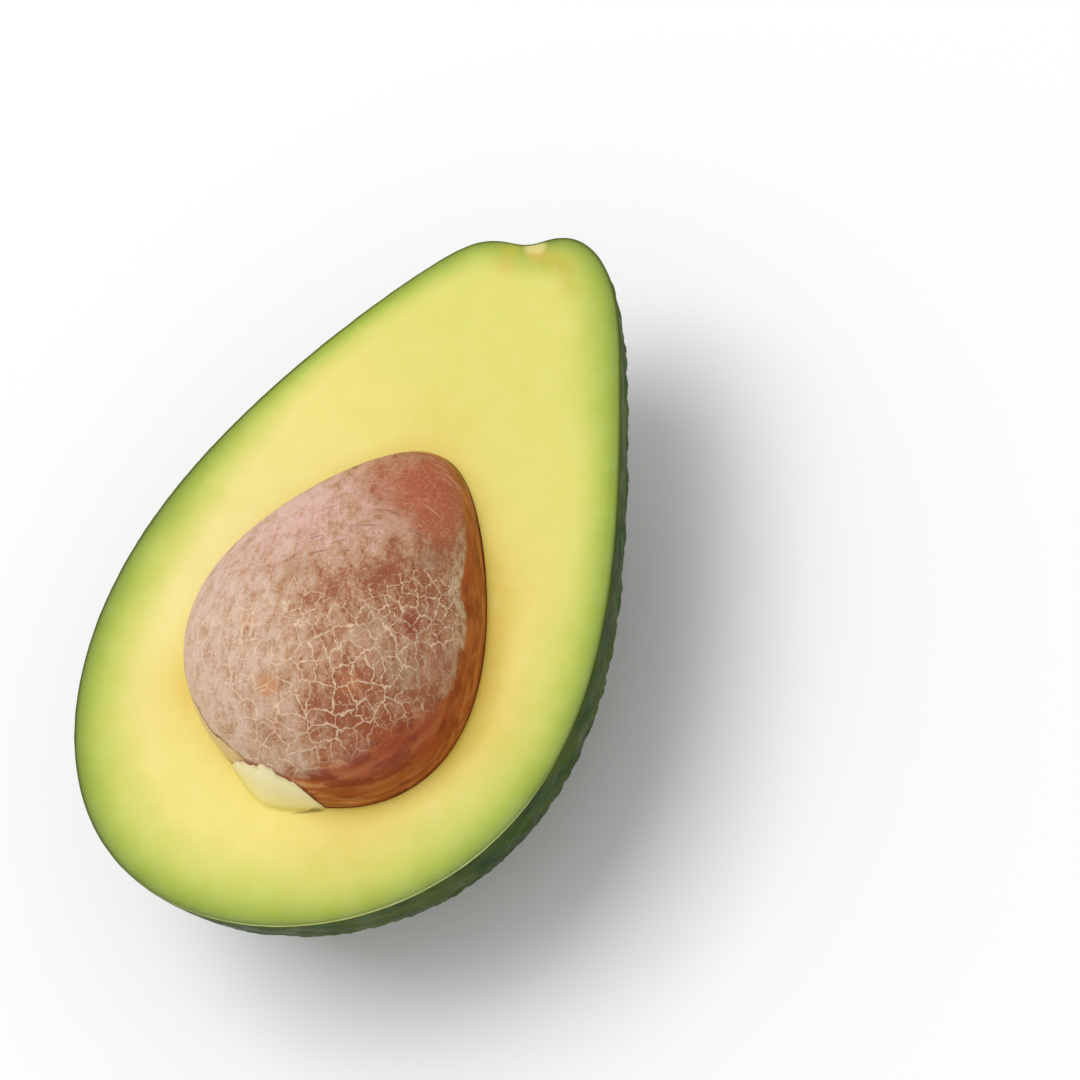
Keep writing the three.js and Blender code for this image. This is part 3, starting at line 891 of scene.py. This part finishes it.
def wrinkles(tree):
    """The folds, darkened later with painted shade, and the crests, paled later with a painted highlight,
    of fine wrinkles that run round the seed's narrow end.
    """
    narrow_end = share_between(tree, attribute(tree, "along"), 9.0, 17.0)
    x = product(tree, attribute(tree, "round_x"), 0.2)
    y = product(tree, attribute(tree, "round_y"), 1.3)
    ripple = noise(tree, combined(tree, x, y), 2.0)
    fold = product(tree, share_between(tree, ripple, 0.6, 0.72), narrow_end, 0.5)
    for crease in CREASES:
        fold = arithmetic(tree, "MAXIMUM", fold, arc_mark(tree, *crease))
    return fold, product(tree, share_between(tree, ripple, 0.38, 0.3), narrow_end)


def net_lines(tree, crest):
    """The cream lines: a coarse net, a faint fine one between, and long slits down one side."""
    flat = combined(tree, attribute(tree, "flat_x"), attribute(tree, "flat_y"))
    uneven = noise(tree, shaken(tree, flat, 3.0, 9.0))
    net_share = offset(tree, attribute(tree, "net"), uneven, 0.9)
    coarse = product(tree, crack_lines(tree, flat, NET_PITCH, NET_WIDTH),
                     share_between(tree, net_share, 0.2, 0.6, 0.0, 0.85))
    fine = product(tree, crack_lines(tree, flat, FINE_NET_PITCH, FINE_NET_WIDTH),
                   share_between(tree, net_share, 0.1, 0.9, 0.25, 0.6),
                   share_between(tree, uneven, 0.4, 0.56))
    from_slit = distance(tree, coat_noise(tree, 0.4, 0.07, 1.0), 0.5)
    slit_share = offset(tree, attribute(tree, "slits"), uneven, 2.4)
    slits = product(tree, share_between(tree, from_slit, 0.011, 0.003),
                    share_between(tree, slit_share, 0.5, 0.9, 0.0, 0.6))
    lines = coarse
    # The wrinkles' crests add a painted highlight.
    for more in (fine, slits, product(tree, crest, 0.3)):
        lines = arithmetic(tree, "MAXIMUM", lines, more)
    return lines


def moist_seed(tree, fibres, stale):
    """The colour below the coat, with fibres that follow the cut and that painted light makes paler close
    to the cut. Beside the lip it is paler.
    """
    # Painted highlight: the fibres grow paler close to the cut, along the seed's edge.
    lit_near_cut = share_between(tree, attribute(tree, "above_cut"), 4.5, 1.5, 0.35, 0.9)
    light = product(tree, share_between(tree, fibres, 0.36, 0.66), lit_near_cut)
    colour = blend_colours(tree, light, SEED_MOIST, SEED_MOIST_LIGHT)
    dark = share_between(tree, fibre_noise(tree, 0.4), 0.48, 0.62, 0.0, 0.8)
    colour = blend_colours(tree, dark, colour, SEED_MOIST_DARK)
    thread = product(tree, share_between(tree, fibres, 0.55, 0.66), attribute(tree, "threads"), 0.8)
    colour = blend_colours(tree, thread, colour, SEED_THREAD)
    return blend_colours(tree, stale, colour, SEED_STALE)


def seed_material():
    material, tree, shader = new_material("avocado_seed_coat")
    grain = coat_noise(tree, 1.0, 0.55, 5.0)
    mottle = coat_noise(tree, 0.34, 0.24, 3.0)
    fibres = fibre_noise(tree, 0.8)
    fold, crest = wrinkles(tree)
    stale = product(tree, attribute(tree, "stale"), share_between(tree, grain, 0.35, 0.6, 0.75, 1.0))
    edge = offset(tree, offset(tree, attribute(tree, "coat"), grain, 1.3), mottle, 2.2)
    edge_width = arithmetic(tree, "MULTIPLY_ADD", attribute(tree, "gradual"), 2.6, 0.5)
    dry = share_between(tree, arithmetic(tree, "DIVIDE", edge, edge_width), -1.0, 1.0)

    # Painted shade in the wrinkles' folds.
    coat = blend_colours(tree, product(tree, fold, 0.45), dry_coat(tree, grain, mottle), SEED_FOLD_SHADE)
    colour = blend_colours(tree, dry, moist_seed(tree, fibres, stale), coat)
    chalky = product(tree, share_between(tree, edge, 3.2, 1.4), share_between(tree, edge, -0.3, 0.5),
                     attribute(tree, "chalk"), share_between(tree, grain, 0.38, 0.58, 0.15, 0.8))
    colour = blend_colours(tree, chalky, colour, SEED_CHALK)
    cracked = arithmetic(tree, "MAXIMUM", dry, product(tree, stale, 0.8))
    lines = product(tree, net_lines(tree, crest), cracked)
    colour = blend_colours(tree, product(tree, lines, 0.9), colour, SEED_NET)
    # Painted shadow: a dark line under the torn coat's edge.
    tear_shadow = product(tree, share_between(tree, arithmetic(tree, "ABSOLUTE", edge), 0.5, 0.15),
                   attribute(tree, "torn"), share_between(tree, grain, 0.36, 0.52, 0.25, 1.0))
    colour = blend_colours(tree, tear_shadow, colour, SEED_TORN_SHADOW)
    tree.links.new(colour, shader.inputs["Base Color"])

    tree.links.new(share_between(tree, dry, 0, 1, 0.3, 0.56), shader.inputs["Roughness"])
    height = arithmetic(tree, "MULTIPLY_ADD", lines, 0.7, grain)
    height = arithmetic(tree, "MULTIPLY_ADD", fibres, 0.3, height)
    height = arithmetic(tree, "MULTIPLY_ADD", fold, -1.0, height)
    bump = add_node(tree, "ShaderNodeBump",
                    {"Height": height, "Distance": SEED_BUMP_DEPTH * MM, "Strength": 0.8})
    tree.links.new(bump.outputs["Normal"], shader.inputs["Normal"])
    shader.inputs["Specular IOR Level"].default_value = SEED_SPECULAR
    return material


seed.data.materials.append(seed_material())
